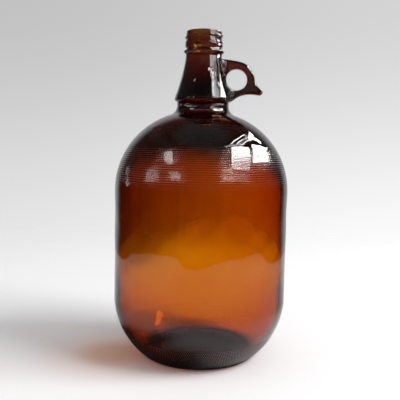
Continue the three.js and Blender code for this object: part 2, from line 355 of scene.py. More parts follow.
def lip_rows():
    """Fire-polished corner, sealing land and the corner into the bore."""
    outer = bend((THREAD_ROOT, THREAD_TOP), (17.3 * MM, JUG_HEIGHT), (15.8 * MM, JUG_HEIGHT), 6)
    land = [(15 * MM, JUG_HEIGHT), (14.2 * MM, JUG_HEIGHT)]
    inner = bend(land[-1], (BORE_RADIUS, JUG_HEIGHT), (BORE_RADIUS, BORE_TOP), 5)
    return circles(COARSE, outer + land + inner)


def wall(height):
    """The blown wall's thickness: thinnest low on the label panel."""
    thick = THIN_WALL + THICKER_ABOVE * smooth_step(88 * MM, 142 * MM, height)
    return thick + THICKER_BELOW * (1 - smooth_step(PANEL_FOOT - 4 * MM, 84 * MM, height))


def inner_wave(angle, height):
    """Slow lobes and fine upright streaks left by the blowing."""
    lobes = 0.5 * np.sin(3 * angle + 24 * height / (2 * pi * 0.1) + 0.7)
    lobes += 0.3 * np.sin(5 * angle - 60 * height + 2.2)
    streaks = 0.12 * np.sin(17 * angle + 1.1 + 8 * height) + 0.08 * np.sin(29 * angle + 0.3)
    return lobes + streaks


def passage_rows():
    """The bore, and the throat that widens below it."""
    rows = []
    for share in (0.15, 0.4, 0.7, 1):
        rows.append(circle(COARSE, BORE_RADIUS, BORE_TOP + (BORE_BOTTOM - BORE_TOP) * share))
    steps = 24
    for i in range(1, steps + 1):
        height = BORE_BOTTOM + (THROAT_WAIST - BORE_BOTTOM) * i / steps
        share = (BORE_BOTTOM - height) / (BORE_BOTTOM - THROAT_WAIST)
        widened = (WAIST_RADIUS - BORE_RADIUS) * share**THROAT_CURVE
        rows.append(circle(COARSE, BORE_RADIUS + widened, height))
    start = (WAIST_RADIUS, THROAT_WAIST)
    corner = (WAIST_RADIUS + 1.6 * MM, THROAT_FOOT + 2 * MM)
    return rows + circles(COARSE, bend(start, corner, (THROAT_RADIUS, THROAT_FOOT), 8))


def inner_dome_rows():
    """Inside of the shoulder, from the throat down to the label panel."""
    out = SHOULDER_ARC - PANEL_RECESS - wall(PANEL_TOP)
    up = SHOULDER_ARC - SHOULDER_WALL
    end = np.arccos((THROAT_RADIUS + SHOULDER_ARC - BODY_RADIUS) / out)
    rows = []
    steps = 26
    for i in range(1, steps + 1):
        angle = end * (1 - i / steps)
        height = PANEL_TOP + up * sin(angle)
        fade = smooth_step(0, 0.5, i / steps)
        wave = INNER_WAVE * fade * inner_wave(turns(COARSE), height)
        rows.append(circle(COARSE, BODY_RADIUS - SHOULDER_ARC + out * cos(angle) - wave, height))
    return rows


def inner_panel_rows():
    rows = []
    steps = 30
    for i in range(1, steps + 1):
        height = PANEL_TOP + (PANEL_FOOT - PANEL_TOP) * i / steps
        wave = INNER_WAVE * inner_wave(turns(COARSE), height)
        rows.append(circle(COARSE, BODY_RADIUS - PANEL_RECESS - wall(height) - wave, height))
    return rows


def inner_heel_rows():
    """Inside of the heel down to the gutter round the domed floor."""
    out = HEEL_ARC - PANEL_RECESS - wall(PANEL_FOOT)
    up = HEEL_ARC - HEEL_WALL
    end = radians(-44)
    rows = []
    steps = 20
    for i in range(1, steps + 1):
        angle = end * i / steps
        height = PANEL_FOOT + up * sin(angle)
        wave = INNER_WAVE * (1 - i / steps) * inner_wave(turns(COARSE), height)
        rows.append(circle(COARSE, BODY_RADIUS - HEEL_ARC + out * cos(angle) - wave, height))
    return rows


def floor_rows(start):
    """The gutter and the domed floor, in towards the axis."""
    points = bend(start, (54 * MM, FLOOR_GUTTER), (FLOOR_RADIUS, FLOOR_GUTTER), 7)
    for share in (0.92, 0.83, 0.72, 0.6, 0.47, 0.34, 0.2, 0.08):
        points.append((FLOOR_RADIUS * share, FLOOR_GUTTER + FLOOR_CROWN * (1 - share * share)))
    return circles(COARSE, points)


def strip(low, high, low_start, high_start):
    """Faces between two rows. One may have a whole number of times as many columns as the other."""
    faces = []
    if low == high:
        for j in range(low):
            k = (j + 1) % low
            faces.append((low_start + j, low_start + k, high_start + k, high_start + j))
        return faces
    few = min(low, high)
    ratio = max(low, high) // few
    half = (ratio + 1) // 2
    for j in range(few):
        k = (j + 1) % few
        for m in range(ratio):
            fine = j * ratio + m
            ahead = (fine + 1) % (few * ratio)
            pivot = j if m < half else k
            if low > high:
                faces.append((low_start + fine, low_start + ahead, high_start + pivot))
            else:
                faces.append((high_start + ahead, high_start + fine, low_start + pivot))
        middle = (j * ratio + half) % (few * ratio)
        if low > high:
            faces.append((low_start + middle, high_start + k, high_start + j))
        else:
            faces.append((high_start + middle, low_start + j, low_start + k))
    return faces


def closed_surface(name, first_point, rows, last_point):
    """A mesh from a point on the axis, through the rows, to another point on the axis."""
    starts = []
    count = 1
    for row in rows:
        starts.append(count)
        count += len(row)
    faces = [(0, starts[0] + (j + 1) % len(rows[0]), starts[0] + j) for j in range(len(rows[0]))]
    for i in range(len(rows) - 1):
        faces += strip(len(rows[i]), len(rows[i + 1]), starts[i], starts[i + 1])
    last = len(rows[-1])
    faces += [(starts[-1] + j, starts[-1] + (j + 1) % last, count) for j in range(last)]
    points = np.vstack([[first_point], *rows, [last_point]])
    mesh = bpy.data.meshes.new(name)
    mesh.from_pydata(points.tolist(), [], faces)
    return mesh


def add_object(name, data):
    made = bpy.data.objects.new(name, data)
    bpy.context.scene.collection.objects.link(made)
    return made


def jug_mesh():
    outside = underside_rows() + heel_rows() + panel_rows() + shoulder_rows() + collar_rows()
    outside += bell_rows() + finish_rows() + thread_rows() + lip_rows()
    inside = passage_rows() + inner_dome_rows() + inner_panel_rows() + inner_heel_rows()
    gutter_start = inside[-1][0]
    inside += floor_rows((gutter_start[0], gutter_start[2]))
    crown = FLOOR_GUTTER + FLOOR_CROWN
    return closed_surface("glass_jug", (0, 0, PUSH_UP), outside + inside, (0, 0, crown))


def ring_outline():
    """The finger ring's edge, as points round the hole's centre."""
    points = [(RING_ROOT, RING_FOOT), (28 * MM, RING_FOOT)]
    points += bend(points[-1], (34.5 * MM, 258.8 * MM), (41.8 * MM, 259.8 * MM), 16)
    points += bend(points[-1], (48.5 * MM, 260.6 * MM), (54.2 * MM, 259.3 * MM), 16)
    for i in range(1, 13):
        angle = TAIL_FROM + TAIL_SWEEP * i / 12
        points.append((TAIL_X + TAIL_RADIUS * cos(angle), TAIL_Z + TAIL_RADIUS * sin(angle)))
    crown = []
    for i in range(25):
        angle = RING_CROWN_FROM + RING_CROWN_SWEEP * i / 24
        crown.append((HOLE_X + RING_OUTER * cos(angle), HOLE_Z + RING_OUTER * sin(angle)))
    points += bend(points[-1], (51.8 * MM, 267 * MM), crown[0], 16) + crown[1:]
    points += bend(points[-1], (34 * MM, 292.2 * MM), (21 * MM, RING_HEAD), 12)
    return points + [(RING_ROOT, RING_HEAD), (RING_ROOT, RING_FOOT)]


def outline_radius(angle):
    """Distance from the hole's centre to the outline, at one angle or many."""
    points = ring_outline()
    around = []
    for start, end in zip(points, points[1:]):
        for share in np.linspace(0, 1, 12, endpoint=False):
            around.append((start[0] + (end[0] - start[0]) * share, start[1] + (end[1] - start[1]) * share))
    away = np.array(around) - [HOLE_X, HOLE_Z]
    bearing = np.arctan2(away[:, 1], away[:, 0]) % (2 * pi)
    order = np.argsort(bearing)
    return np.interp(angle, bearing[order], np.hypot(away[order, 0], away[order, 1]), period=2 * pi)


def ring_section(inner, outer, steps):
    """A rounded section from the hole's edge to the outline, as (distance from the hole, sideways)."""
    half = RING_THICKNESS / 2
    outer_round = min(RING_OUTER_ROUND, 0.42 * (outer - inner))
    corners = [
        (outer - outer_round, half - outer_round, outer_round, 0),
        (inner + RING_INNER_ROUND, half - RING_INNER_ROUND, RING_INNER_ROUND, pi / 2),
        (inner + RING_INNER_ROUND, RING_INNER_ROUND - half, RING_INNER_ROUND, pi),
        (outer - outer_round, outer_round - half, outer_round, 3 * pi / 2),
    ]
    points = []
    for away, side, rounding, start in corners:
        for i in range(steps + 1):
            angle = start + pi / 2 * i / steps
            points.append((away + rounding * cos(angle), side + rounding * sin(angle)))
        if start in (pi / 2, 3 * pi / 2):
            continue
        far = inner + RING_INNER_ROUND if start == 0 else outer - outer_round
        for share in (0.33, 0.67):
            points.append((away + (far - away) * share, half if start == 0 else -half))
    return points


def ring_mesh():
    """The finger ring, its faces flared where they meet the bell."""
    angles = np.linspace(0, 2 * pi, 144, endpoint=False)
    points = []
    for angle, outer in zip(angles, outline_radius(angles)):
        for away, side in ring_section(HOLE_RADIUS, outer, 5):
            x = HOLE_X + away * cos(angle)
            z = HOLE_Z + away * sin(angle)
            clear = max(x - bell_radius(z), 0)
            flare = RING_FLARE * np.exp(-clear / RING_FLARE_REACH)
            points.append((x, side * (1 + flare / (RING_THICKNESS / 2)), z))
    around = len(points) // len(angles)
    faces = []
    for i in range(len(angles)):
        k = (i + 1) % len(angles)
        for j in range(around):
            m = (j + 1) % around
            faces.append((i * around + j, i * around + m, k * around + m, k * around + j))
    mesh = bpy.data.meshes.new("finger_ring_glass")
    mesh.from_pydata(points, [], faces)
    return mesh


def marks_mesh():
    """Small raised dots and bars on the front of the collar, with no meaning."""
    shapes = bmesh.new()
    for around, height, tall in COLLAR_MARKS:
        made = bmesh.ops.create_icosphere(shapes, subdivisions=2, radius=MARK_RADIUS)["verts"]
        bmesh.ops.scale(shapes, vec=(1, 1, tall), verts=made)
        turn = radians(around - 90)
        place = (COLLAR_RADIUS * cos(turn), COLLAR_RADIUS * sin(turn), height * MM)
        bmesh.ops.translate(shapes, vec=place, verts=made)
    mesh = bpy.data.meshes.new("collar_marks")
    shapes.to_mesh(mesh)
    shapes.free()
    return mesh


def fuse(jug, piece):
    """Joins piece to the jug and removes it."""
    join = jug.modifiers.new("fuse", "BOOLEAN")
    join.operation = "UNION"
    join.solver = "MANIFOLD"
    join.object = piece
    evaluated = jug.evaluated_get(bpy.context.evaluated_depsgraph_get())
    joined = bpy.data.meshes.new_from_object(evaluated)
    jug.modifiers.remove(join)
    jug.data = joined
    bpy.data.objects.remove(piece)


class Nodes:
    """Short calls for a node tree. Unless they say otherwise, they return the new node's first output."""

    def __init__(self, tree):
        self.tree = tree
        tree.nodes.clear()

    def add(self, kind, **settings):
        """Returns the new node itself."""
        node = self.tree.nodes.new(kind)
        for name, value in settings.items():
            setattr(node, name, value)
        return node

    def join(self, source, target):
        """Sets a socket to a number, or links it to an output."""
        if isinstance(source, (int, float)):
            target.default_value = source
        else:
            self.tree.links.new(source, target)

    def place(self, kind="Object"):
        """The place on the object, in metres, or with "Generated" in the world, the direction."""
        return self.add("ShaderNodeTexCoord").outputs[kind]

    def split(self, vector):
        """Returns the outputs for the vector's three parts."""
        node = self.add("ShaderNodeSeparateXYZ")
        self.join(vector, node.inputs[0])
        return list(node.outputs)

    def math(self, operation, *values):
        node = self.add("ShaderNodeMath", operation=operation)
        for value, socket in zip(values, node.inputs):
            self.join(value, socket)
        return node.outputs[0]

    def product(self, first, *others):
        for value in others:
            first = self.math("MULTIPLY", first, value)
        return first

    def length(self, first, second):
        """The length of a vector with these two parts."""
        squares = [self.math("MULTIPLY", part, part) for part in (first, second)]
        return self.math("SQRT", self.math("ADD", *squares))

    def step(self, low, high, value):
        """A smooth rise from 0 at low to 1 at high."""
        node = self.add("ShaderNodeMapRange", interpolation_type="SMOOTHSTEP")
        for name, setting in (("Value", value), ("From Min", low), ("From Max", high)):
            self.join(setting, node.inputs[name])
        return node.outputs[0]

    def choose(self, factor, first, second):
        """first where factor is 0, second where it is 1."""
        node = self.add("ShaderNodeMix", data_type="FLOAT")
        for value, socket in zip((factor, first, second), (node.inputs[0], node.inputs[2], node.inputs[3])):
            self.join(value, socket)
        return node.outputs[0]

    def tint(self, factor, first, second):
        """As choose, for colours. A colour is a socket or a tuple."""
        node = self.add("ShaderNodeMix", data_type="RGBA")
        self.join(factor, node.inputs[0])
        for value, socket in ((first, node.inputs[6]), (second, node.inputs[7])):
            if isinstance(value, tuple):
                socket.default_value = (*value, 1)
            else:
                self.tree.links.new(value, socket)
        return node.outputs[2]

    def noise(self, place, scale, detail):
        node = self.add("ShaderNodeTexNoise")
        node.inputs["Scale"].default_value = scale
        node.inputs["Detail"].default_value = detail
        self.tree.links.new(place, node.inputs["Vector"])
        return node.outputs[0]

    def surface(self, shader):
        """Makes shader the material's surface, and returns the output node."""
        output = self.add("ShaderNodeOutputMaterial")
        self.join(shader, output.inputs["Surface"])
        return output


def new_material(name):
    """A material with an empty node tree, and the calls that fill it."""
    material = bpy.data.materials.new(name)
    material.use_nodes = True
    return material, Nodes(material.node_tree)


# Amber glass: clear skin, and a body that absorbs light
REFRACTION = 1.52
AMBER = (0.937, 0.735, 0.01, 1)
AMBER_DENSITY = 1030

# The stipple in the material: how far a dot spreads in pitches, over how many rows the shoulder's
# dots grow and fade, how much deeper the heel's are, and how deep into the glass it reaches
DOT_SPREAD = 0.34
DOTS_GROW_ROWS = 7.0
DOTS_FADE_ROWS = 5
HEEL_DOTS_DEEPER = 3.0
DOTS_DEPTH = 1.2 * MM

# Relief in the material, in millimetres
DOT_RELIEF = 0.055
WAVE_RELIEF = 0.02
SEAM_RELIEF = 0.06
BODY_STREAKS = 0.03
NECK_STREAKS = 0.2
PANEL_STREAKS = 0.06
STREAKS_SCALE = (260, 260, 14)
SEAM_HALF_WIDTH = (0.1 * MM, 0.45 * MM)

# Roughness of the smudges and of the dots' tops
SMUDGE_ROUGHNESS = 0.03
DOT_ROUGHNESS = 0.285


def dot_height(nodes, place):
    """The stipple, worked out from the place on the jug: up to 1 on the shoulder, more on the heel."""
    x, y, z = nodes.split(place)
    high = nodes.math("GREATER_THAN", z, (PANEL_FOOT + PANEL_TOP) / 2)
    arc = nodes.choose(high, HEEL_ARC, SHOULDER_ARC)
    out = nodes.math("ADD", nodes.math("SUBTRACT", nodes.length(x, y), BODY_RADIUS), arc)
    up = nodes.math("SUBTRACT", z, nodes.choose(high, PANEL_FOOT, PANEL_TOP))
    pitch = nodes.choose(high, HEEL_DOT_PITCH, SHOULDER_DOT_PITCH)
    first = nodes.choose(high, HEEL_DOTS_FROM, SHOULDER_DOTS_FROM)
    travel = nodes.product(nodes.math("SUBTRACT", nodes.math("ARCTAN2", up, out), first), arc)
    row = nodes.math("DIVIDE", travel, pitch)
    number = nodes.math("FLOOR", row)
    shift = nodes.product(nodes.math("MODULO", number, 2.0), 0.5)
    turn = nodes.product(nodes.math("ARCTAN2", y, x), DOTS_ROUND / (2 * pi))
    column = nodes.math("SUBTRACT", turn, shift)
    beside = nodes.math("SUBTRACT", column, nodes.math("ROUND", column))
    above = nodes.math("SUBTRACT", nodes.math("SUBTRACT", row, number), 0.5)
    dome = nodes.math("SUBTRACT", 1.0, nodes.step(0.0, DOT_SPREAD, nodes.length(beside, above)))
    rows = nodes.choose(high, HEEL_DOT_ROWS, SHOULDER_DOT_ROWS)
    inside = nodes.product(nodes.math("GREATER_THAN", row, 0.0), nodes.math("LESS_THAN", row, rows))
    grow = nodes.step(0.0, DOTS_GROW_ROWS, row)
    fade = nodes.step(SHOULDER_DOT_ROWS, SHOULDER_DOT_ROWS - DOTS_FADE_ROWS, row)
    inside = nodes.product(inside, nodes.choose(high, HEEL_DOTS_DEEPER, nodes.product(grow, fade)))
    skin = nodes.math("SUBTRACT", arc, DOTS_DEPTH)
    outer = nodes.math("GREATER_THAN", nodes.length(out, up), skin)
    return nodes.product(dome, inside, outer)


def seam_height(nodes, place):
    """Fine mould seams up both sides of the jug, in the plane of the finger ring."""
    side = nodes.math("ABSOLUTE", nodes.split(place)[1])
    return nodes.math("SUBTRACT", 1.0, nodes.step(*SEAM_HALF_WIDTH, side))


def streak_height(nodes, place):
    """Upright streaks left by the blowing: strong on the neck, slight high on the label panel."""
    pulled = nodes.add("ShaderNodeMapping")
    pulled.inputs["Scale"].default_value = STREAKS_SCALE
    nodes.join(place, pulled.inputs["Vector"])
    streaks = nodes.noise(pulled.outputs[0], 1.0, 2.0)
    level = nodes.split(place)[2]
    strength = nodes.choose(nodes.step(0.24, 0.26, level), BODY_STREAKS, NECK_STREAKS)
    panel = nodes.product(nodes.step(0.125, 0.145, level), nodes.step(0.2, 0.17, level), PANEL_STREAKS)
    return nodes.product(streaks, nodes.math("ADD", strength, panel))


def glass_relief(nodes, place, dots):
    """A bump node with the stipple, slow waves, streaks and mould seams."""
    height = nodes.product(dots, DOT_RELIEF)
    height = nodes.math("ADD", height, nodes.product(nodes.noise(place, 55.0, 1.0), WAVE_RELIEF))
    height = nodes.math("ADD", height, streak_height(nodes, place))
    height = nodes.math("ADD", height, nodes.product(seam_height(nodes, place), SEAM_RELIEF))
    bump = nodes.add("ShaderNodeBump")
    bump.inputs["Distance"].default_value = MM
    nodes.join(height, bump.inputs["Height"])
    return bump.outputs[0]


def glass_material():
    """Amber glass with its relief. Smudges and the tops of the dots are a little rough."""
    material, nodes = new_material("amber_glass")
    place = nodes.place()
    dots = dot_height(nodes, place)
    skin = nodes.add("ShaderNodeBsdfPrincipled")
    skin.inputs["Base Color"].default_value = (1, 1, 1, 1)
    skin.inputs["Transmission Weight"].default_value = 1
    skin.inputs["IOR"].default_value = REFRACTION
    smudges = nodes.product(nodes.step(0.45, 0.75, nodes.noise(place, 38.0, 3.0)), SMUDGE_ROUGHNESS)
    tops = nodes.product(nodes.step(0.15, 0.6, dots), DOT_ROUGHNESS)
    nodes.join(nodes.math("ADD", smudges, tops), skin.inputs["Roughness"])
    nodes.join(glass_relief(nodes, place, dots), skin.inputs["Normal"])
    body = nodes.add("ShaderNodeVolumeAbsorption")
    body.inputs["Color"].default_value = AMBER
    body.inputs["Density"].default_value = AMBER_DENSITY
    output = nodes.surface(skin.outputs[0])
    nodes.join(body.outputs[0], output.inputs["Volume"])
    return material


def make_jug():
    """One closed piece of glass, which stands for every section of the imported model."""
    jug = add_object("glass_jug", jug_mesh())
    fuse(jug, add_object("finger_ring_glass", ring_mesh()))
    fuse(jug, add_object("collar_marks", marks_mesh()))
    jug.data.materials.clear()
    jug.data.materials.append(glass_material())
    jug.data.polygons.foreach_set("use_smooth", [True] * len(jug.data.polygons))
    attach(jug, "root")
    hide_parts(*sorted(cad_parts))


# Camera
CAMERA_PLACE = Vector((-0.96 * MM, -0.6, 0.213))
CAMERA_TILT = radians(84.5)
CAMERA_ROLL = radians(1.15)
CAMERA_LENS = 54.3

# Floor: a pale table with a painted amber glow beside the jug, where light comes through the glass, and
# painted shade seen through the glass under the jug and far left
FLOOR_DROP = 0.2 * MM
FLOOR_REACH = 2.0
FLOOR_FADE = (0.48, 1.02)
FLOOR_FADE_INSIDE = (0.6, 1.4)
FLOOR_PALE = (0.88, 0.88, 0.88)
FLOOR_PAINTED_WARM_GLOW = (0.86, 0.77, 0.72)
FLOOR_PAINTED_AMBER_GLOW = (0.75, 0.55, 0.43)
FLOOR_SHADE = (0.08, 0.08, 0.08)
PAINTED_GLOW_PLACE = (-0.085, -0.01, 0)
LEFT_SHADE = 0.6

# How much of the floor is hidden in what the outer skin mirrors: all of it beyond the table's
# edge, and a share of it before and behind the jug, out to each side, and at each side of the
# foot. The last is the share hidden in what the walls mirror from inside.
TABLE_EDGE = 0.62
MIRRORED_DIM = 0.6
MIRRORED_LEFT_DIM = 0.3
MIRRORED_RIGHT_DIM = 0.55
FOOT_LEFT_DIM = 0.9
FOOT_RIGHT_DIM = 0.1
INNER_DIM = 0.85

# Brightness of the backdrop as the camera sees it: at the top and the foot, and left and right of it
BACKDROP_TOP = 0.6
BACKDROP_FOOT = 0.93
BACKDROP_SIDES = (0.88, 1.1)

# Brightness of the room as the outer skin mirrors it
MIRRORED_FLOOR = 0.006
MIRRORED_WALLS = 0.06
MIRRORED_CEILING = 0.2
MIRRORED_BACKDROP = 0.62

# Brightness of the room through the glass: behind the jug on the left and right, elsewhere,
# below the table, and mirrored by a wall. Then its tint, and the light that the floor gets.
THROUGH_BEHIND = (0.17, 0.67)
THROUGH_ASIDE = 0.4
THROUGH_FLOOR = 0.006
THROUGH_MIRRORED = 0.01
THROUGH_TINT = (1.0, 0.78, 0.7)
PLAIN_TINT = (1.0, 1.0, 1.01)
FLOOR_LIGHT = 0.58

# The key light, which lights the scene but shows in no reflection
KEY_PLACE = (1.9, -0.6, 1.75)
KEY_TARGET = (0, 0, 0.1)
KEY_WIDTH = 1.6
KEY_HEIGHT = 1.3
KEY_RADIANCE = 10.2

# The card round the neck, seen only through the glass
NECK_CARD_RADIUS = 0.1
NECK_CARD_FOOT = 0.214
NECK_CARD_TOP = 0.42
NECK_CARD_DARK = 0.252
NECK_CARD_LIT = 0.305
NECK_CARD_LIGHT = 0.11
NECK_CARD_COLOUR = (1, 0.72, 0.55, 1)
NECK_CARD_COLUMNS = 48

# The windows of the room, as the jug mirrors them, whole or broken into specks: name, brightness,
# and corners as degrees round from the front and degrees up, seen from a point on the axis
FAR_PANES_AWAY = 3.0
FAR_PANES_CENTRE = 0.2
WHOLE_PANES = [
    ("window_right", 24, [(82, 31), (114, 22), (129, 27.5), (112, 43)]),
    ("window_corner", 20, [(124, 43.4), (129.5, 31.4), (134.5, 31), (131, 42.6)]),
    ("blind_1", 20, [(79, 61), (79, 60), (130, 46), (130, 46.8)]),
    ("blind_2", 20, [(82, 57.6), (82, 56.6), (122, 46.4), (122, 47.2)]),
    ("blind_3", 20, [(87, 53.4), (87, 52.4), (118, 45), (118, 45.8)]),
]
BROKEN_PANES = [
    ("window_left", 24, [(42, 31), (69, 24.5), (99, 45), (68, 57)]),
    ("doorway_near", 16, [(28, 16), (42, 15), (45, 32), (30, 33)]),
    ("doorway_far", 5, [(42, 15), (62, 13), (66, 24), (45, 26)]),
    ("far_window_1", 9, [(-44, 37), (-57, 34.5), (-72, 46), (-60, 52.5)]),
    ("far_window_2", 8, [(-57, 13), (-75, 9.5), (-82, 22), (-65, 30)]),
    ("far_window_3", 9, [(-25.5, 15), (-40, 15), (-47, 27), (-28, 27)]),
    ("far_window_4", 3, [(-105, 1), (-112, 0), (-125, 12), (-117.5, 14)]),
]

# Specks of the broken panes: how many a metre, how far they stray from a grid, and how far out
# they fade. They gather in patches, and close up between two heights.
SPECK_SCALE = 9.0
SPECK_RANDOMNESS = 0.5
SPECK_EDGE = (0.62, 0.3)
PATCH_SCALE = 2.2
PATCH_EDGE = (0.36, 0.5)
SPECKS_END = (1.75, 2.1)

# A lamp that shows only through the glass, as a glint above the base
BASE_GLINT_LIGHT = 12
BASE_GLINT = [(82, 35), (125, 35), (125, 46), (82, 46)]

# Cards bent round the neck, which draw the stripes on it and keep the windows off it: name,
# brightness, and corners as degrees round from the front and millimetres above the table
NEAR_CARDS_RADIUS = 130 * MM
NEAR_CARDS = [
    ("neck_shade", 0.1, [(-128, 300), (-20, 300), (-20, 348), (-128, 348)]),
    ("neck_front", 0.2, [(-20, 309), (35, 309), (35, 348), (-20, 348)]),
    ("neck_stripe", 7, [(39, 331), (70, 324), (70, 337), (36, 346)]),
    ("neck_shine", 20, [(88, 311), (110, 306), (118, 322), (94, 329)]),
    ("finish_shine", 3, [(66, 336), (102, 336), (100, 342), (58, 342)]),
    ("thread_shine", 3, [(71, 328), (104, 329), (104, 332), (71, 331)]),
    ("collar_stripe", 2.5, [(36, 250.5), (50, 250.5), (50, 254), (36, 254)]),
    ("collar_shine", 8, [(50, 250), (104, 251), (104, 255), (50, 254)]),
    ("collar_glint", 7, [(68, 245), (78, 245), (78, 249.5), (68, 249.5)]),
    ("ring_face", 0.3, [(8, 262), (33, 262), (33, 308), (8, 308)]),
]


def make_camera():
    camera = add_object("camera", bpy.data.cameras.new("camera"))
    turn = Matrix.Rotation(CAMERA_TILT, 4, "X") @ Matrix.Rotation(CAMERA_ROLL, 4, "Z")
    camera.matrix_world = Matrix.Translation(CAMERA_PLACE) @ turn
    camera.data.lens = CAMERA_LENS
    camera.data.clip_start = 0.01
    bpy.context.scene.camera = camera


def first_reflection(nodes, path):
    """1 for light mirrored by the jug's outer skin, before it has been through any glass."""
    shallow = nodes.math("LESS_THAN", path["Transmission Depth"], 0.5)
    return nodes.product(path["Is Glossy Ray"], shallow)


def through_glass(nodes, path):
    return nodes.math("GREATER_THAN", path["Transmission Depth"], 0.5)


def inner_reflection(nodes, path):
    """1 for light mirrored by one wall of the jug after it has been through another."""
    mirrored = nodes.math("GREATER_THAN", path["Glossy Depth"], 0.5)
    return nodes.product(mirrored, through_glass(nodes, path))


def floor_colour(nodes, place, distance, inside):
    """Pale, with a painted warm glow beside the jug, and painted shade seen through the glass under it and
    far left.
    """
    cast = nodes.add("ShaderNodeVectorMath", operation="DISTANCE")
    nodes.join(place, cast.inputs[0])
    cast.inputs[1].default_value = PAINTED_GLOW_PLACE
    # Painted light: a warm, then amber, glow in the floor's colour beside the jug, standing in for light
    # that comes through the glass
    pale = nodes.tint(nodes.step(0.1, 0.02, cast.outputs["Value"]), FLOOR_PALE, FLOOR_PAINTED_WARM_GLOW)
    pale = nodes.tint(nodes.step(0.05, 0.01, cast.outputs["Value"]), pale, FLOOR_PAINTED_AMBER_GLOW)
    x, y, _ = nodes.split(place)
    # Painted shade: the floor seen through the glass is darker far left and under the jug
    left = nodes.product(nodes.step(0.0, -0.18, x), nodes.step(0.1, 0.65, y), inside, LEFT_SHADE)
    under = nodes.product(inside, nodes.step(0.075, 0.05, distance))
    return nodes.tint(nodes.math("MAXIMUM", under, left), pale, FLOOR_SHADE)


def mirrored_floor_dim(nodes, place, distance):
    """How much of the floor is hidden from the jug's outer skin."""
    x = nodes.split(place)[0]
    aside = nodes.step(0.08, 0.35, nodes.math("ABSOLUTE", x))
    side_dim = nodes.choose(nodes.step(-0.1, 0.1, x), MIRRORED_LEFT_DIM, MIRRORED_RIGHT_DIM)
    dim = nodes.product(nodes.step(0.06, 0.3, distance), nodes.choose(aside, MIRRORED_DIM, side_dim))
    # Painted shade in what the skin mirrors: near the foot, and much more on its left, the floor is hidden
    # where the jug's shadow falls
    near = nodes.choose(nodes.step(-0.02, 0.04, x), FOOT_LEFT_DIM, FOOT_RIGHT_DIM)
    near = nodes.product(nodes.step(0.1, 0.075, distance), near)
    contact = nodes.step(0.062, 0.054, distance)
    left = nodes.product(nodes.step(0.15, 0.1, distance), nodes.step(-0.02, -0.06, x), FOOT_LEFT_DIM)
    for part in (near, contact, left):
        dim = nodes.math("MAXIMUM", dim, part)
    return nodes.choose(nodes.math("GREATER_THAN", distance, TABLE_EDGE), dim, 1.0)


def floor_material():
    """A pale table that fades into the backdrop, and ends at its edge in mirrored light."""
    material, nodes = new_material("pale_floor")
    path = nodes.add("ShaderNodeLightPath").outputs
    place = nodes.place()
    away = nodes.add("ShaderNodeVectorMath", operation="LENGTH")
    nodes.join(place, away.inputs[0])
    distance = away.outputs["Value"]
    inside = through_glass(nodes, path)
    paint = nodes.add("ShaderNodeBsdfDiffuse")
    nodes.join(floor_colour(nodes, place, distance, inside), paint.inputs["Color"])
    gone = nodes.add("ShaderNodeBsdfTransparent")
    faded = nodes.choose(inside, nodes.step(*FLOOR_FADE, distance), nodes.step(*FLOOR_FADE_INSIDE, distance))
    mirrored = nodes.product(first_reflection(nodes, path), mirrored_floor_dim(nodes, place, distance))
    inner = nodes.product(inner_reflection(nodes, path), INNER_DIM)
    below = nodes.add("ShaderNodeNewGeometry").outputs["Backfacing"]
    for part in (mirrored, inner, below):
        faded = nodes.math("MAXIMUM", faded, part)
    mix = nodes.add("ShaderNodeMixShader")
    for source, socket in zip((faded, paint.outputs[0], gone.outputs[0]), mix.inputs):
        nodes.join(source, socket)
    nodes.surface(mix.outputs[0])
    return material


def make_floor():
    mesh = bpy.data.meshes.new("pale_floor")
    corners = [(-1, -1), (1, -1), (1, 1), (-1, 1)]
    mesh.from_pydata([(x * FLOOR_REACH, y * FLOOR_REACH, 0) for x, y in corners], [], [(0, 1, 2, 3)])
    floor = add_object("pale_floor", mesh)
    floor.location.z = -FLOOR_DROP
    mesh.materials.append(floor_material())


def seen_backdrop(nodes, x, z):
    """The backdrop as the camera sees it: darker towards its top and its left."""
    height = nodes.math("SUBTRACT", 1.0, nodes.step(-0.26, 0.24, z))
    across = nodes.choose(nodes.step(-0.4, 0.4, x), *BACKDROP_SIDES)
    return nodes.product(nodes.choose(height, BACKDROP_TOP, BACKDROP_FOOT), across)


def mirrored_room(nodes, y, z):
    """The room as the outer skin mirrors it: dark, with the pale backdrop behind the jug."""
    room = nodes.choose(nodes.step(0.02, 0.06, z), MIRRORED_FLOOR, MIRRORED_WALLS)
    room = nodes.choose(nodes.step(0.85, 0.97, z), room, MIRRORED_CEILING)
    backdrop = nodes.product(nodes.step(0.62, 0.86, y), nodes.step(-0.35, -0.2, z))
    return nodes.choose(backdrop, room, MIRRORED_BACKDROP)


def room_through_glass(nodes, path, x, y, z):
    """The room through the glass: brighter on the right, and dark below the table's level."""
    side = nodes.choose(nodes.step(-0.25, 0.2, x), *THROUGH_BEHIND)
    passed = nodes.choose(nodes.step(0.8, 0.95, y), THROUGH_ASIDE, side)
    passed = nodes.choose(nodes.step(-0.03, 0.014, z), passed, THROUGH_FLOOR)
    return nodes.choose(inner_reflection(nodes, path), passed, THROUGH_MIRRORED)


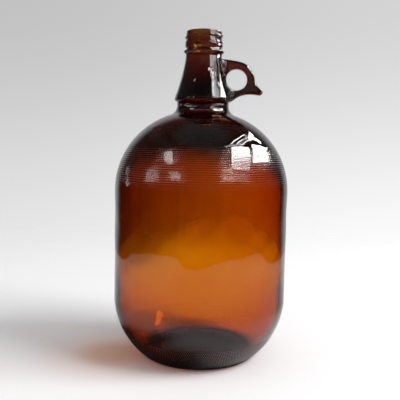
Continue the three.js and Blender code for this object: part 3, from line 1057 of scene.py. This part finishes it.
def make_backdrop():
    """The world: a pale gradient behind the jug, a dark room in its reflections."""
    world = bpy.data.worlds.new("studio")
    bpy.context.scene.world = world
    world.use_nodes = True
    nodes = Nodes(world.node_tree)
    path = nodes.add("ShaderNodeLightPath").outputs
    x, y, z = nodes.split(nodes.place("Generated"))
    seen = seen_backdrop(nodes, x, z)
    value = nodes.choose(first_reflection(nodes, path), seen, mirrored_room(nodes, y, z))
    passed = room_through_glass(nodes, path, x, y, z)
    value = nodes.choose(through_glass(nodes, path), value, passed)
    diffused = nodes.math("GREATER_THAN", path["Diffuse Depth"], 0.5)
    value = nodes.choose(diffused, value, FLOOR_LIGHT)
    warm = nodes.product(through_glass(nodes, path), nodes.math("SUBTRACT", 1.0, diffused))
    colour = nodes.add("ShaderNodeCombineColor")
    for socket, plain, warmer in zip(colour.inputs, PLAIN_TINT, THROUGH_TINT):
        nodes.join(nodes.product(value, nodes.choose(warm, plain, warmer)), socket)
    light = nodes.add("ShaderNodeBackground")
    nodes.join(colour.outputs[0], light.inputs["Color"])
    output = nodes.add("ShaderNodeOutputWorld")
    nodes.join(light.outputs[0], output.inputs["Surface"])


def make_key():
    """A soft panel up on the right."""
    light = bpy.data.lights.new("key", "AREA")
    light.shape = "RECTANGLE"
    light.size = KEY_WIDTH
    light.size_y = KEY_HEIGHT
    light.energy = KEY_RADIANCE * pi * KEY_WIDTH * KEY_HEIGHT
    panel = add_object("key", light)
    panel.location = KEY_PLACE
    panel.rotation_euler = (Vector(KEY_TARGET) - Vector(KEY_PLACE)).to_track_quat("-Z", "Y").to_euler()
    panel.visible_camera = False
    panel.visible_glossy = False
    panel.visible_transmission = False


def glow_material(name, radiance, broken):
    """A glow. A broken one is cut into specks low down, as the stipple cuts what it mirrors."""
    material, nodes = new_material(name)
    glow = nodes.add("ShaderNodeEmission")
    glow.inputs["Strength"].default_value = radiance
    if broken:
        place = nodes.place()
        specks = nodes.add("ShaderNodeTexVoronoi")
        specks.inputs["Scale"].default_value = SPECK_SCALE
        specks.inputs["Randomness"].default_value = SPECK_RANDOMNESS
        nodes.join(place, specks.inputs["Vector"])
        whole = nodes.step(*SPECKS_END, nodes.split(place)[2])
        patches = nodes.step(*PATCH_EDGE, nodes.noise(place, PATCH_SCALE, 2.0))
        share = nodes.math("MAXIMUM", nodes.step(*SPECK_EDGE, specks.outputs["Distance"]), whole)
        share = nodes.product(share, nodes.math("MAXIMUM", patches, whole))
        nodes.join(nodes.product(share, radiance), glow.inputs["Strength"])
    nodes.surface(glow.outputs[0])
    return material


def neck_card_material():
    """Dark up to the bell, lighter at the mouth."""
    material, nodes = new_material("neck_card")
    glow = nodes.add("ShaderNodeEmission")
    glow.inputs["Color"].default_value = NECK_CARD_COLOUR
    lit = nodes.step(NECK_CARD_DARK, NECK_CARD_LIT, nodes.split(nodes.place())[2])
    nodes.join(nodes.product(lit, NECK_CARD_LIGHT), glow.inputs["Strength"])
    nodes.surface(glow.outputs[0])
    return material


def far_pane(corners):
    """Points and faces of a flat pane of the room."""
    points = []
    for around, up in corners:
        level = FAR_PANES_AWAY * cos(radians(up))
        height = FAR_PANES_CENTRE + FAR_PANES_AWAY * sin(radians(up))
        points.append((level * sin(radians(around)), -level * cos(radians(around)), height))
    return points, [(0, 1, 2, 3)]


def near_card(corners):
    """Points and faces of a card bent round the jug's axis."""
    steps = 12
    points = []
    for start, end in ((corners[0], corners[1]), (corners[3], corners[2])):
        for i in range(steps + 1):
            around = radians(start[0] + (end[0] - start[0]) * i / steps)
            height = (start[1] + (end[1] - start[1]) * i / steps) * MM
            points.append((NEAR_CARDS_RADIUS * sin(around), -NEAR_CARDS_RADIUS * cos(around), height))
    above = steps + 1
    return points, [(i, i + 1, above + i + 1, above + i) for i in range(steps)]


def neck_card():
    """Points and faces of the card all round the neck."""
    points = []
    for height in (NECK_CARD_FOOT, NECK_CARD_TOP):
        points += circle(NECK_CARD_COLUMNS, NECK_CARD_RADIUS, height).tolist()
    return points, strip(NECK_CARD_COLUMNS, NECK_CARD_COLUMNS, 0, NECK_CARD_COLUMNS)


def make_card(name, shape, material, mirrored):
    """A glowing piece of the stage that shows only in reflections, or only through the glass."""
    points, faces = shape
    mesh = bpy.data.meshes.new(name)
    mesh.from_pydata(points, [], faces)
    mesh.materials.append(material)
    card = add_object(name, mesh)
    card.visible_camera = False
    card.visible_diffuse = False
    card.visible_glossy = mirrored
    card.visible_transmission = not mirrored
    card.visible_shadow = False


def make_lights():
    """The dark card round the neck, the key light, and all that the jug mirrors."""
    make_card("neck_card", neck_card(), neck_card_material(), False)
    make_key()
    for panes, broken in ((WHOLE_PANES, False), (BROKEN_PANES, True)):
        for name, radiance, corners in panes:
            make_card(name, far_pane(corners), glow_material(name, radiance, broken), True)
    for name, radiance, corners in NEAR_CARDS:
        make_card(name, near_card(corners), glow_material(name, radiance, False), True)
    glint = glow_material("base_glint", BASE_GLINT_LIGHT, False)
    make_card("base_glint", far_pane(BASE_GLINT), glint, False)


def main():
    bpy.context.scene.view_settings.view_transform = "Standard"
    make_camera()
    make_jug()
    make_floor()
    make_backdrop()
    make_lights()


main()
bpy.context.view_layer.update()
